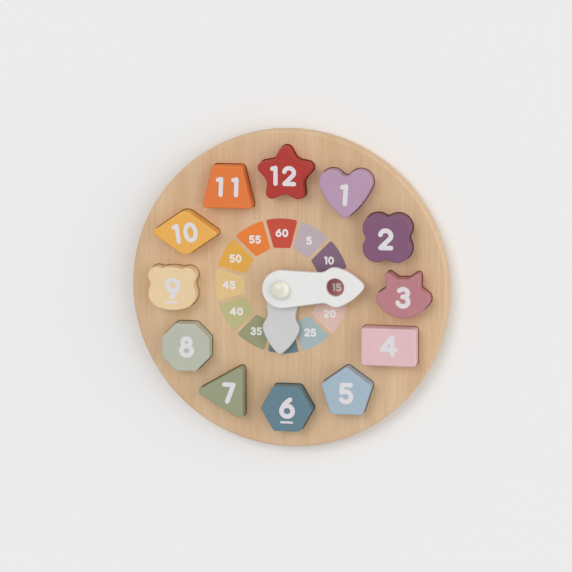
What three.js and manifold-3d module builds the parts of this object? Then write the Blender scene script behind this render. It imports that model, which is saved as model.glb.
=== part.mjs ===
// A wooden shape sorting clock. Twelve shaped number blocks lift out of sockets in a
// round board, and two hands turn on a bolt through the middle of the dial.
// Lengths are in millimetres. The back of the board is at z = 0, +Z points out of the
// face, +Y points to twelve o'clock and +X to three o'clock.

import * as THREE from 'three';
import Module from 'manifold-3d';

// Blocks: the nominal width that every shape is drawn to, and the room between two of them
const blockSize = 42;
const blockGap = 6.1;
const blockThickness = 18;
const blockEdgeRounding = 1.2;
const blockFootEase = 0.6;
const blockCornerRadius = 2.5;

// Board: a face layer with the sockets cut right through, glued on a plain back layer
const faceLayerThickness = 6;
const backLayerThickness = 9;
const rimMargin = 13.1;
const rimRounding = 2.5;
const socketClearance = 0.5;
const socketEase = 0.6;

// Dial centre, measured from the middle of the ring of blocks
const dialOffsetX = -3.8;
const dialOffsetY = 2.1;

// Minute hand, measured from the bolt
const minuteHubRadius = 15.2;
const minuteNeckHalfWidth = 12.2;
const minuteNeckRadius = 9;
const minuteShoulderReach = 43.3;
const minuteShoulderHalfWidth = 15.8;
const minuteShoulderRadius = 10;
const minuteReach = 66.2;
const minuteTipRadius = 4.2;
const windowReach = 43.3;
const windowRadius = 7.2;

// Hour hand, measured from the bolt
const hourHubRadius = 14.2;
const hourNeckHalfWidth = 11.2;
const hourNeckRadius = 8;
const hourShoulderReach = 32.3;
const hourShoulderHalfWidth = 14.6;
const hourShoulderRadius = 9;
const hourReach = 53.2;
const hourTipRadius = 3.4;

// Both hands
const handSideRadius = 42;
const handThickness = 5;
const handEdgeRounding = 1.2;
const handFootEase = 0.5;
const minuteRestDegrees = 3.7;
const hourRestDegrees = -92.9;

// Bolt, washers and cap
const shankRadius = 3;
const boltHeadRadius = 6;
const boltHeadHeight = 2.8;
const boltHeadRecess = 0.6;
const boltHeadEase = 0.5;
const keySocketHalfWidth = 2;
const keySocketDepth = 1.6;
const boltHeadClearance = 0.7;
const washerThickness = 0.8;
const handWasherRadius = 11.5;
const capWasherRadius = 6.6;
const capRadius = 7.2;
const capBandHeight = 1.2;
const capDomeHeight = 4.2;
const capBoreDepth = 3.6;

// Fits
const fixedBoreClearance = 0.3;
const turningBoreClearance = 0.35;
const restGap = 0.3;
const cutOverrun = 1;

// How finely curves are cut into flats
const facetSagitta = 0.08;
const leastRoundFacetCount = 28;
const edgeStepCount = 3;
const tightestCornerShare = 0.9;
const touchingLean = 0.99999;

const wasm = await Module();
wasm.setup();

const fullTurn = 2 * Math.PI;
const hourStep = fullTurn / 12;
const ringRadius = (blockSize + blockGap) / (2 * Math.sin(hourStep / 2));
const boardRadius = ringRadius + blockSize / 2 + rimMargin;
const boardTop = backLayerThickness + faceLayerThickness;
const counterboreDepth = boltHeadRecess + boltHeadHeight + restGap;

// The angle of one flat on an arc of this radius, so that the flat strays no more than
// the sagitta from the true arc.
function flatAngle(radius) {
  return 2 * Math.acos(1 - Math.min(1, facetSagitta / Math.abs(radius)));
}

// The outline that a taut belt takes round circles { x, y, r }, listed anticlockwise.
// A belt passes a circle with a negative r on its other side, which makes a hollow.
// Circles that touch share the point where the belt passes from one to the other.
// grow moves the whole outline outwards and leaves the number of points as it is.
function belt(circles, grow = 0) {
  const runs = circles.map((from, i) => {
    const to = circles[(i + 1) % circles.length];
    const lean = (to.r - from.r) / Math.hypot(to.x - from.x, to.y - from.y);
    const lineOfCentres = Math.atan2(to.y - from.y, to.x - from.x);
    const heading = lineOfCentres - Math.asin(THREE.MathUtils.clamp(lean, -1, 1));
    return { heading, touching: Math.abs(lean) > touchingLean };
  });
  return circles.flatMap((circle, i) => {
    const arrival = runs[(i + circles.length - 1) % circles.length].heading;
    const { heading: departure, touching } = runs[i];
    const sense = Math.sign(circle.r);
    const sweep = THREE.MathUtils.euclideanModulo(sense * (departure - arrival), fullTurn);
    const steps = Math.max(1, Math.ceil(sweep / flatAngle(circle.r)));
    return Array.from({ length: touching ? steps : steps + 1 }, (_, step) => {
      const heading = arrival + sense * sweep * step / steps;
      const radius = circle.r + grow;
      const x = circle.x + radius * Math.sin(heading);
      const y = circle.y - radius * Math.cos(heading);
      return new THREE.Vector2(x, y);
    });
  });
}

// The circle of radius r that just touches two others on the way from the first to the
// second: outside them as a hollow when r is negative, round both as a bulge when it is
// larger than they are.
function between(first, second, r) {
  const along = new THREE.Vector2(second.x - first.x, second.y - first.y);
  const span = along.length();
  const a = Math.abs(first.r - r);
  const b = Math.abs(second.r - r);
  const foot = (span * span + a * a - b * b) / (2 * span);
  const rise = -Math.sign(r) * Math.sqrt(Math.max(0, a * a - foot * foot));
  along.divideScalar(span);
  const x = first.x + along.x * foot + along.y * rise;
  const y = first.y + along.y * foot - along.x * rise;
  return { x, y, r };
}

// Circles inside the corners of a convex polygon, which round each corner by its radius.
function cornerCircles(corners) {
  return corners.map(({ x, y, r }, i) => {
    const corner = new THREE.Vector2(x, y);
    const before = corners[(i + corners.length - 1) % corners.length];
    const after = corners[(i + 1) % corners.length];
    const back = new THREE.Vector2(before.x, before.y).sub(corner).normalize();
    const ahead = new THREE.Vector2(after.x, after.y).sub(corner).normalize();
    const halfAngle = Math.acos(THREE.MathUtils.clamp(back.dot(ahead), -1, 1)) / 2;
    const inwards = back.add(ahead).normalize();
    corner.addScaledVector(inwards, r / Math.sin(halfAngle));
    return { x: corner.x, y: corner.y, r };
  });
}

// A regular polygon given by its inscribed circle, with its first corner at an angle.
function regularPolygon(sides, inscribedRadius, firstCorner) {
  const reach = (inscribedRadius - blockCornerRadius) / Math.cos(Math.PI / sides);
  return Array.from({ length: sides }, (_, i) => {
    const angle = firstCorner + fullTurn * i / sides;
    return { x: reach * Math.cos(angle), y: reach * Math.sin(angle), r: blockCornerRadius };
  });
}

// The same shape on the other side of x = 0, for outlines that are alike left and right.
function mirrored(circles) {
  return circles.map(({ x, y, r }) => ({ x: -x, y, r })).reverse();
}

// A shape's table holds shares of the nominal block size.
function scaled(table) {
  return Object.fromEntries(Object.entries(table).map(([name, share]) => [name, share * blockSize]));
}

const heartShares = {
  lobeX: 0.262, lobeY: 0.2, lobe: 0.235, notch: 0.107, pointY: -0.379, point: 0.083, side: 1.3,
};

function heart() {
  const s = scaled(heartShares);
  const point = { x: 0, y: s.pointY, r: s.point };
  const right = { x: s.lobeX, y: s.lobeY, r: s.lobe };
  const left = { x: -s.lobeX, y: s.lobeY, r: s.lobe };
  const notch = between(right, left, -s.notch);
  return [point, between(point, right, s.side), right, notch, left, between(left, point, s.side)];
}

const flowerShares = { lobeX: 0.191, lobeY: 0.189, lobe: 0.262, notch: 0.095 };

function flower() {
  const s = scaled(flowerShares);
  const signs = [[1, 1], [-1, 1], [-1, -1], [1, -1]];
  const lobes = signs.map(([across, up]) => ({ x: across * s.lobeX, y: up * s.lobeY, r: s.lobe }));
  return lobes.flatMap((lobe, i) => [lobe, between(lobe, lobes[(i + 1) % lobes.length], -s.notch)]);
}

const catShares = {
  cheekX: 0.348, cheekY: -0.079, cheek: 0.155, jowl: 0.6,
  earX: 0.271, earY: 0.366, ear: 0.05, earFootY: 0.15, earFoot: 0.048,
  browX: 0.08, browY: 0.405, brow: 0.095, chinY: 0.033, chin: 0.467,
};

function catHead() {
  const s = scaled(catShares);
  const cheek = { x: s.cheekX, y: s.cheekY, r: s.cheek };
  const earFoot = { x: s.earX + s.ear + s.earFoot, y: s.earFootY, r: -s.earFoot };
  const ear = { x: s.earX, y: s.earY, r: s.ear };
  const brow = { x: s.browX, y: s.browY, r: -s.brow };
  const chin = { x: 0, y: s.chinY, r: s.chin };
  const side = [between(chin, cheek, s.jowl), cheek, earFoot, ear, brow];
  return [...side, ...mirrored(side), chin];
}

const bearShares = {
  cheekX: 0.174, cheekY: -0.117, cheek: 0.283,
  earX: 0.295, earY: 0.229, ear: 0.167, temple: 0.14, notch: 0.05,
  crownY: -0.2, crown: 0.6, chin: 0.795,
};

function bearHead() {
  const s = scaled(bearShares);
  const cheek = { x: s.cheekX, y: s.cheekY, r: s.cheek };
  const ear = { x: s.earX, y: s.earY, r: s.ear };
  const crown = { x: 0, y: s.crownY, r: s.crown };
  const side = [cheek, between(cheek, ear, -s.temple), ear, between(ear, crown, -s.notch)];
  return [...side, crown, ...mirrored(side), between(...mirrored([cheek]), cheek, s.chin)];
}

const rectangleShares = { halfWidth: 0.518, halfHeight: 0.358 };

function rectangle() {
  const { halfWidth: x, halfHeight: y } = scaled(rectangleShares);
  const r = blockCornerRadius;
  return cornerCircles([{ x, y, r }, { x: -x, y, r }, { x: -x, y: -y, r }, { x, y: -y, r }]);
}

const inscribedShares = { pentagon: 0.41, hexagon: 0.43, octagon: 0.458, triangle: 0.305 };

function pentagon() {
  return regularPolygon(5, scaled(inscribedShares).pentagon, Math.PI / 2);
}

function hexagon() {
  return regularPolygon(6, scaled(inscribedShares).hexagon, 0);
}

function octagon() {
  return regularPolygon(8, scaled(inscribedShares).octagon, Math.PI / 8);
}

function triangle() {
  return regularPolygon(3, scaled(inscribedShares).triangle, Math.PI);
}

const rhombusShares = { halfLength: 0.655, halfHeight: 0.452, crown: 0.19 };

function rhombus() {
  const s = scaled(rhombusShares);
  return cornerCircles([
    { x: s.halfLength, y: 0, r: blockCornerRadius },
    { x: 0, y: s.halfHeight, r: s.crown },
    { x: -s.halfLength, y: 0, r: blockCornerRadius },
    { x: 0, y: -s.halfHeight, r: s.crown },
  ]);
}

const trapezoidShares = { halfBase: 0.483, halfTop: 0.286, height: 0.8 };

function trapezoid() {
  const { halfBase, halfTop, height } = scaled(trapezoidShares);
  const centroid = height / 3 * (halfBase + 2 * halfTop) / (halfBase + halfTop);
  const r = blockCornerRadius;
  return cornerCircles([
    { x: halfBase, y: -centroid, r },
    { x: halfTop, y: height - centroid, r },
    { x: -halfTop, y: height - centroid, r },
    { x: -halfBase, y: -centroid, r },
  ]);
}

const starShares = { pointReach: 0.425, point: 0.11, notchReach: 0.557, notch: 0.19 };

function star() {
  const s = scaled(starShares);
  return Array.from({ length: 10 }, (_, i) => {
    const angle = Math.PI / 2 + fullTurn * i / 10;
    const isPoint = i % 2 === 0;
    const reach = isPoint ? s.pointReach : s.notchReach;
    return { x: reach * Math.cos(angle), y: reach * Math.sin(angle), r: isPoint ? s.point : -s.notch };
  });
}

// The blocks by hour. Each sits a little off its hour mark, by shares of the block size.
const blocks = [
  { name: 'block_01_heart', outline: heart(), colour: 0xb492ae, aside: [0.024, -0.019] },
  { name: 'block_02_flower', outline: flower(), colour: 0x7b5070, aside: [-0.005, -0.04] },
  { name: 'block_03_cat', outline: catHead(), colour: 0xb77880, aside: [0.005, 0.005] },
  { name: 'block_04_rectangle', outline: rectangle(), colour: 0xe0b9be, aside: [0.032, 0.117] },
  { name: 'block_05_pentagon', outline: pentagon(), colour: 0xa1b5c4, aside: [0.04, 0.025] },
  { name: 'block_06_hexagon', outline: hexagon(), colour: 0x5b7b88, aside: [0, -0.024] },
  { name: 'block_07_triangle', outline: triangle(), colour: 0x929879, aside: [-0.039, -0.047] },
  { name: 'block_08_octagon', outline: octagon(), colour: 0xb4baa4, aside: [-0.024, -0.014] },
  { name: 'block_09_bear', outline: bearHead(), colour: 0xe7cba0, aside: [0.019, 0.014] },
  { name: 'block_10_rhombus', outline: rhombus(), colour: 0xe7ab4d, aside: [-0.014, -0.038] },
  { name: 'block_11_trapezoid', outline: trapezoid(), colour: 0xdf742e, aside: [-0.007, 0.007] },
  { name: 'block_12_star', outline: star(), colour: 0xab2821, aside: [-0.014, 0] },
];
blocks.forEach((block, i) => {
  const angle = hourStep * (i + 1);
  const [asideX, asideY] = block.aside;
  block.x = ringRadius * Math.sin(angle) + blockSize * asideX;
  block.y = ringRadius * Math.cos(angle) + blockSize * asideY;
});

// A closed solid through a stack of outlines { outline, z } with equal numbers of points.
function loft(stack) {
  const count = stack[0].outline.length;
  const positions = stack.flatMap(({ outline, z }) => outline.flatMap((point) => [point.x, point.y, z]));
  const indices = [];
  for (let level = 0; level < stack.length - 1; level += 1) {
    for (let i = 0; i < count; i += 1) {
      const here = level * count + i;
      const next = level * count + (i + 1) % count;
      indices.push(here, next, next + count, here, next + count, here + count);
    }
  }
  const cover = (level, facing) => {
    const { outline } = stack[level];
    const first = level * count;
    THREE.ShapeUtils.triangulateShape(outline, []).forEach(([a, b, c]) => {
      const ahead = outline[b].clone().sub(outline[a]);
      const aside = outline[c].clone().sub(outline[a]);
      const flipped = ahead.cross(aside) * facing < 0;
      indices.push(first + a, first + (flipped ? c : b), first + (flipped ? b : c));
    });
  };
  cover(0, -1);
  cover(stack.length - 1, 1);
  const geometry = new THREE.BufferGeometry();
  geometry.setAttribute('position', new THREE.Float32BufferAttribute(positions, 3));
  geometry.setIndex(indices);
  return geometry;
}

// A slab with a small bevel round its foot and a quarter round on its upper edge, which
// its tightest corner limits.
function slab(circles, thickness, footEase, edgeRounding) {
  const tightest = Math.min(...circles.map(({ r }) => r).filter((r) => r > 0));
  const rounding = Math.min(edgeRounding, tightest * tightestCornerShare);
  const stack = [
    { outline: belt(circles, -footEase), z: 0 },
    { outline: belt(circles), z: footEase },
  ];
  for (let step = 0; step <= edgeStepCount; step += 1) {
    const angle = Math.PI / 2 * step / edgeStepCount;
    const inset = rounding * (1 - Math.cos(angle));
    stack.push({ outline: belt(circles, -inset), z: thickness - rounding + rounding * Math.sin(angle) });
  }
  return loft(stack);
}

// A turned solid through a list of [radius, z] pairs.
function turned(profile) {
  const widest = Math.max(...profile.map(([radius]) => radius));
  const count = Math.max(leastRoundFacetCount, 4 * Math.ceil(fullTurn / flatAngle(widest) / 4));
  return loft(profile.map(([radius, z]) => {
    const outline = Array.from({ length: count }, (_, i) => {
      const angle = fullTurn * i / count;
      return new THREE.Vector2(radius * Math.cos(angle), radius * Math.sin(angle));
    });
    return { outline, z };
  }));
}

// A round cutter from one height to another that runs on past both.
function drill(radius, from, to) {
  return turned([[radius, from - cutOverrun], [radius, to + cutOverrun]]);
}

function toSolid(geometry) {
  const vertProperties = new Float32Array(geometry.attributes.position.array);
  const triVerts = new Uint32Array(geometry.index.array);
  return new wasm.Manifold(new wasm.Mesh({ numProp: 3, vertProperties, triVerts }));
}

// The first geometry with all the others cut away.
function cut(geometry, cutters) {
  const solid = cutters.reduce((rest, cutter) => rest.subtract(toSolid(cutter)), toSolid(geometry));
  const mesh = solid.getMesh();
  const result = new THREE.BufferGeometry();
  result.setAttribute('position', new THREE.BufferAttribute(mesh.vertProperties, 3));
  result.setIndex(new THREE.BufferAttribute(mesh.triVerts, 1));
  return result;
}

function piece(name, geometry, { colour, roughness = 0.5, metalness = 0 }) {
  const material = new THREE.MeshStandardMaterial({ color: colour, roughness, metalness, flatShading: true });
  const mesh = new THREE.Mesh(geometry, material);
  mesh.name = name;
  return mesh;
}

// A cutter in the shape of a block, wider by the clearance and flared at the mouth.
function socketCutter(block) {
  const flare = socketClearance + socketEase;
  return loft([
    { outline: belt(block.outline, socketClearance), z: backLayerThickness - cutOverrun },
    { outline: belt(block.outline, socketClearance), z: boardTop - socketEase },
    { outline: belt(block.outline, flare), z: boardTop },
    { outline: belt(block.outline, flare), z: boardTop + cutOverrun },
  ]).translate(block.x, block.y, 0);
}

function faceLayer() {
  const profile = [[boardRadius, backLayerThickness]];
  for (let step = 0; step <= edgeStepCount; step += 1) {
    const angle = Math.PI / 2 * step / edgeStepCount;
    const radius = boardRadius - rimRounding * (1 - Math.cos(angle));
    profile.push([radius, boardTop - rimRounding + rimRounding * Math.sin(angle)]);
  }
  const bore = drill(shankRadius + fixedBoreClearance, backLayerThickness, boardTop);
  return cut(turned(profile), [
    ...blocks.map(socketCutter),
    bore.translate(dialOffsetX, dialOffsetY, 0),
  ]);
}

function backLayer() {
  const profile = [];
  for (let step = 0; step <= edgeStepCount; step += 1) {
    const angle = Math.PI / 2 * step / edgeStepCount;
    const radius = boardRadius - rimRounding * (1 - Math.sin(angle));
    profile.push([radius, rimRounding * (1 - Math.cos(angle))]);
  }
  profile.push([boardRadius, backLayerThickness]);
  const bore = drill(shankRadius + fixedBoreClearance, 0, backLayerThickness);
  const counterboreRadius = boltHeadRadius + boltHeadClearance;
  const counterbore = turned([[counterboreRadius, -cutOverrun], [counterboreRadius, counterboreDepth]]);
  return cut(turned(profile), [
    bore.translate(dialOffsetX, dialOffsetY, 0),
    counterbore.translate(dialOffsetX, dialOffsetY, 0),
  ]);
}

// A hand lies along +X from the bolt: a round hub, a slimmer neck, shoulders and a point
// with swelling sides.
function handOutline(hub, neckHalfWidth, neckRadius, shoulder, reach, tipRadius) {
  const shoulderY = shoulder.halfWidth - shoulder.radius;
  const neckY = neckHalfWidth + neckRadius;
  const touching = shoulder.radius + neckRadius;
  const neckX = shoulder.reach - Math.sqrt(Math.max(0, touching ** 2 - (neckY - shoulderY) ** 2));
  const tip = { x: reach - tipRadius, y: 0, r: tipRadius };
  const shoulderCircle = { x: shoulder.reach, y: shoulderY, r: shoulder.radius };
  const side = between(tip, shoulderCircle, handSideRadius);
  const upper = [side, shoulderCircle, { x: neckX, y: neckY, r: -neckRadius }];
  const lower = upper.map(({ x, y, r }) => ({ x, y: -y, r })).reverse();
  return [tip, ...upper, { x: 0, y: 0, r: hub }, ...lower];
}

function hand(outline, cutters) {
  const bore = drill(shankRadius + turningBoreClearance, 0, handThickness);
  return cut(slab(outline, handThickness, handFootEase, handEdgeRounding), [bore, ...cutters]);
}

function minuteHand() {
  const shoulder = {
    reach: minuteShoulderReach, halfWidth: minuteShoulderHalfWidth, radius: minuteShoulderRadius,
  };
  const outline = handOutline(
    minuteHubRadius, minuteNeckHalfWidth, minuteNeckRadius, shoulder, minuteReach, minuteTipRadius,
  );
  return hand(outline, [drill(windowRadius, 0, handThickness).translate(windowReach, 0, 0)]);
}

function hourHand() {
  const shoulder = { reach: hourShoulderReach, halfWidth: hourShoulderHalfWidth, radius: hourShoulderRadius };
  const outline = handOutline(
    hourHubRadius, hourNeckHalfWidth, hourNeckRadius, shoulder, hourReach, hourTipRadius,
  );
  return hand(outline, []);
}

function washer(radius) {
  const bore = drill(shankRadius + fixedBoreClearance, 0, washerThickness);
  return cut(turned([[radius, 0], [radius, washerThickness]]), [bore]);
}

// A flat head with a six-sided key socket, and a plain shank that ends inside the cap.
function bolt(length) {
  const body = turned([
    [boltHeadRadius - boltHeadEase, 0],
    [boltHeadRadius, boltHeadEase],
    [boltHeadRadius, boltHeadHeight],
    [shankRadius, boltHeadHeight],
    [shankRadius, length],
  ]);
  const keyReach = keySocketHalfWidth / Math.cos(Math.PI / 6);
  const key = Array.from({ length: 6 }, (_, i) => {
    const angle = fullTurn * i / 6;
    return new THREE.Vector2(keyReach * Math.cos(angle), keyReach * Math.sin(angle));
  });
  return cut(body, [loft([{ outline: key, z: -cutOverrun }, { outline: key, z: keySocketDepth }])]);
}

// A dome on a short upright band, bored from below for the end of the shank.
function cap() {
  const domeStepCount = 2 * edgeStepCount;
  const profile = [[capRadius, 0]];
  for (let step = 0; step < domeStepCount; step += 1) {
    const angle = Math.PI / 2 * step / domeStepCount;
    profile.push([capRadius * Math.cos(angle), capBandHeight + capDomeHeight * Math.sin(angle)]);
  }
  const lastAngle = Math.PI / 2 * (1 - 1 / (3 * domeStepCount));
  profile.push([capRadius * Math.cos(lastAngle), capBandHeight + capDomeHeight * Math.sin(lastAngle)]);
  const boreRadius = shankRadius + fixedBoreClearance;
  return cut(turned(profile), [turned([[boreRadius, -cutOverrun], [boreRadius, capBoreDepth]])]);
}

// Heights of what is stacked on the face, each a small gap above the piece below it
const blockZ = backLayerThickness + restGap;
const lowerWasherZ = boardTop + restGap;
const hourHandZ = lowerWasherZ + washerThickness + restGap;
const middleWasherZ = hourHandZ + handThickness + restGap;
const minuteHandZ = middleWasherZ + washerThickness + restGap;
const upperWasherZ = minuteHandZ + handThickness + restGap;
const capZ = upperWasherZ + washerThickness + restGap;
const boltLength = capZ + capBoreDepth - restGap - boltHeadRecess;

const bareWood = { colour: 0xd6b590, roughness: 0.62 };
const clearNylon = { colour: 0xe6e2d2, roughness: 0.3 };
const whitePaint = { colour: 0xe7e7e6, roughness: 0.42 };
const greyPaint = { colour: 0xcdcdcd, roughness: 0.42 };
const steel = { colour: 0xb9bbbd, roughness: 0.3, metalness: 1 };

const clock = new THREE.Group();
clock.add(piece('face_board', faceLayer(), bareWood));
clock.add(piece('back_board', backLayer(), bareWood));

blocks.forEach((block) => {
  const geometry = slab(block.outline, blockThickness, blockFootEase, blockEdgeRounding);
  const mesh = piece(block.name, geometry, { colour: block.colour, roughness: 0.45 });
  mesh.position.set(block.x, block.y, blockZ);
  clock.add(mesh);
});

const dial = new THREE.Group();
dial.position.set(dialOffsetX, dialOffsetY, 0);
clock.add(dial);

function addToDial(mesh, z, degrees = 0) {
  mesh.position.z = z;
  mesh.rotation.z = THREE.MathUtils.degToRad(degrees);
  dial.add(mesh);
}

addToDial(piece('pivot_bolt', bolt(boltLength), steel), boltHeadRecess);
addToDial(piece('lower_washer', washer(handWasherRadius), clearNylon), lowerWasherZ);
addToDial(piece('hour_hand', hourHand(), greyPaint), hourHandZ, hourRestDegrees);
addToDial(piece('middle_washer', washer(handWasherRadius), clearNylon), middleWasherZ);
addToDial(piece('minute_hand', minuteHand(), whitePaint), minuteHandZ, minuteRestDegrees);
addToDial(piece('upper_washer', washer(capWasherRadius), clearNylon), upperWasherZ);
addToDial(piece('pivot_cap', cap(), clearNylon), capZ);

export default clock;
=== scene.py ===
# %% [markdown]
# A wooden shape sorting clock
#
# The construction of this toy comes ready made: a round board of two glued layers, twelve
# number blocks that lift out, two hands and the bolt they turn on. This lesson gives every
# piece its fine surface and its finish. It could start from primitives and modifiers, but
# all the shapes here are flat outlines with thickness, so a few lines of numpy that turn
# an outline into a closed shell will serve for nearly every piece.

# %% Load the construction
import math

import bpy
import numpy as np
from mathutils import Euler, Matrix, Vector
from mathutils.geometry import delaunay_2d_cdt, tessellate_polygon


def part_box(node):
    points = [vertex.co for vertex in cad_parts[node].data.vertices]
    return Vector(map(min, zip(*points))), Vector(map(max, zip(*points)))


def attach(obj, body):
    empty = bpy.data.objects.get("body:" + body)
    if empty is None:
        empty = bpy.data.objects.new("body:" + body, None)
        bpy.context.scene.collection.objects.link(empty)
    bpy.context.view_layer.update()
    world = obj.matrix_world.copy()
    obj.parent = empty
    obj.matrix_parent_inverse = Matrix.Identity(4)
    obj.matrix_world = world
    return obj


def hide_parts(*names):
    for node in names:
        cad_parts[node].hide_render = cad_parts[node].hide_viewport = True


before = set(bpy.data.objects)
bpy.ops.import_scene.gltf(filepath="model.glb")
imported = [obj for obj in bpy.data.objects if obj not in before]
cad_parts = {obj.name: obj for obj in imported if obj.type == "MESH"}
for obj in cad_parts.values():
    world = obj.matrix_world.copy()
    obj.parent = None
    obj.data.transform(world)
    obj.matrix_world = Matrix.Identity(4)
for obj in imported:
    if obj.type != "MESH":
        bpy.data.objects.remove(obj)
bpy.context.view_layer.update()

MM = 0.001
print("pieces in the construction:", len(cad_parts))


def size_of(node):
    """Width, depth and height of a construction piece, in millimetres."""
    low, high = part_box(node)
    return np.array(high - low) / MM


print("face board, mm:", size_of("face_board").round(1))

# %% [markdown]
# The camera
#
# The clock lies on its back and the camera looks down on it from far away, a little from
# the right and from above. The angles could be set by eye with a Track To constraint, but a
# constraint keeps the horizon level, and this view is turned slightly, so the three angles
# are written out. A long lens from far off keeps the sides of the blocks nearly parallel.

# %% Camera
CAMERA_PLACE = (0.5198, 0.4679, 2.5943)
CAMERA_TURN_DEGREES = (-10.072, 11.398, -0.250)
LENS = 212.96
SENSOR = 36

lens = bpy.data.cameras.new("camera")
lens.lens = LENS
lens.sensor_width = SENSOR
lens.clip_end = 100
camera = bpy.data.objects.new("camera", lens)
camera.location = CAMERA_PLACE
camera.rotation_euler = Euler([math.radians(angle) for angle in CAMERA_TURN_DEGREES], "XYZ")
bpy.context.scene.collection.objects.link(camera)
bpy.context.scene.camera = camera
print("camera distance, m:", round(camera.location.length, 2))

# %% [markdown]
# Outlines
#
# Every shape on this toy is drawn with arcs and straight lines that run smoothly into each
# other. Picture a belt pulled tight round a few discs: it follows each disc for a while and
# crosses to the next one in a straight line. A disc that the belt passes on its other side
# has a negative radius and makes a hollow. Curves drawn by hand would do as well, but a belt
# knows its outward direction everywhere, and that gives exact offsets for free.

# %% A belt round discs
# How far in mm a flat may stray from its arc, and the change of radius over the distance
# from which two circles count as touching
SAGITTA = 0.004
TOUCHING = 0.99999


def belt(circles):
    """Points and outward directions of a taut belt round circles (x, y, r), anticlockwise.

    The straight run from one circle to the next leaves the line of centres by the arc
    sine of the change of radius over the distance. Each circle is followed from the
    heading of the run before it to that of the run after it, in flats that stray from
    the arc by no more than the sagitta. Circles that touch share one point.
    """
    x, y, r = np.array(circles, float).T
    ahead = np.roll(np.arange(len(r)), -1)
    lean = (r[ahead] - r) / np.hypot(x[ahead] - x, y[ahead] - y)
    leave = np.arctan2(y[ahead] - y, x[ahead] - x) - np.arcsin(np.clip(lean, -1, 1))
    arrive = np.roll(leave, 1)
    sense = np.sign(r)
    sweep = np.mod(sense * (leave - arrive), 2 * np.pi)
    steps = np.ceil(sweep / (2 * np.arccos(1 - SAGITTA / np.abs(r)))).astype(int).clip(1)
    turns = [
        start + way * np.linspace(0, turn, count + 1)[: count if touch else None]
        for start, way, turn, count, touch in zip(arrive, sense, sweep, steps, abs(lean) > TOUCHING)
    ]
    owner = np.repeat(np.arange(len(r)), [len(turn) for turn in turns])
    heading = np.concatenate(turns)
    outward = np.column_stack((np.sin(heading), -np.cos(heading)))
    return np.column_stack((x, y))[owner] + r[owner, None] * outward, outward


def between(first, second, r):
    """The circle of radius r that touches two others on the way from first to second.

    A hollow, with a negative r, lies outside them and a larger bulge lies round both.
    Its centre is where two circles cross whose radii are the differences of the radii.
    """
    (x, y, a), (to_x, to_y, b) = first, second
    span = math.hypot(to_x - x, to_y - y)
    along = np.array((to_x - x, to_y - y)) / span
    foot = (span**2 + (a - r) ** 2 - (b - r) ** 2) / (2 * span)
    rise = -math.copysign(math.sqrt(max(0, (a - r) ** 2 - foot**2)), r)
    centre = (x, y) + along * foot + np.array((along[1], -along[0])) * rise
    return centre[0], centre[1], r


print("flats round a disc of 1 mm:", math.ceil(math.pi / math.acos(1 - SAGITTA)))

# %% Round, moved and grown outlines
def disc(x, y, r):
    """A round outline: points at equal angles, and the directions away from the centre."""
    count = 4 * math.ceil(math.pi / math.acos(1 - SAGITTA / r) / 4)
    turn = np.arange(count) * 2 * np.pi / count
    outward = np.column_stack((np.cos(turn), np.sin(turn)))
    return np.array((x, y)) + r * outward, outward


def placed(outline, x=0, y=0, degrees=0):
    """The outline turned about its origin and then moved."""
    turn = math.radians(degrees)
    matrix = np.array([[math.cos(turn), math.sin(turn)], [-math.sin(turn), math.cos(turn)]])
    points, outward = outline
    return points @ matrix + (x, y), outward @ matrix


def grown(outline, by):
    """The outline moved outwards by a distance."""
    points, outward = outline
    return points + by * outward, outward


print("points round the board:", len(disc(0, 0, size_of("face_board")[0] / 2)[0]))

# %% [markdown]
# Shells
#
# A wooden plate is an outline with a wall and two covers. The wall is a surface of two
# parameters: one runs along the outline and one up the section. A Bevel modifier could
# round the edges afterwards, but here the section itself holds the rounding, so the true
# direction of the surface is known at every point and can be stored with the mesh. That
# keeps the wide flat faces free of the shading streaks that long thin triangles make.

# %% Sections
# Flats on a rounded corner, and the length in mm below which a step of a section is dropped
ROUNDING_STEPS = 6
LEAST_STEP = SAGITTA / 10


def section(*stations):
    """An open path through stations (offset, height, radius), each inner corner rounded.

    The arc at a corner touches both its sides: it starts radius times the tangent of
    half the turn before the corner, and its direction turns evenly from one side's to
    the other's. Returns the points and the unit directions.
    """
    places = np.array([station[:2] for station in stations], float)
    sides = np.diff(places, axis=0)
    sides /= np.linalg.norm(sides, axis=1)[:, None]
    heading = np.arctan2(sides[:, 1], sides[:, 0])
    points, ways = [places[:1]], [sides[:1]]
    for corner, (_, _, radius) in enumerate(stations[1:-1]):
        turn = (heading[corner + 1] - heading[corner] + np.pi) % (2 * np.pi) - np.pi
        angles = heading[corner] + turn * np.linspace(0, 1, ROUNDING_STEPS + 1)
        way = np.column_stack((np.cos(angles), np.sin(angles)))
        aside = math.copysign(radius, turn) * np.column_stack((-way[:, 1], way[:, 0]))
        start = places[corner + 1] - sides[corner] * radius * math.tan(abs(turn) / 2)
        points.append(start + aside[0] - aside)
        ways.append(way)
    points, ways = np.vstack(points + [places[-1:]]), np.vstack(ways + [sides[-1:]])
    apart = np.linalg.norm(np.diff(points, axis=0), axis=1) > LEAST_STEP
    return points[np.r_[True, apart]], ways[np.r_[True, apart]]


print("points on a rounded corner:", ROUNDING_STEPS + 1)

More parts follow.
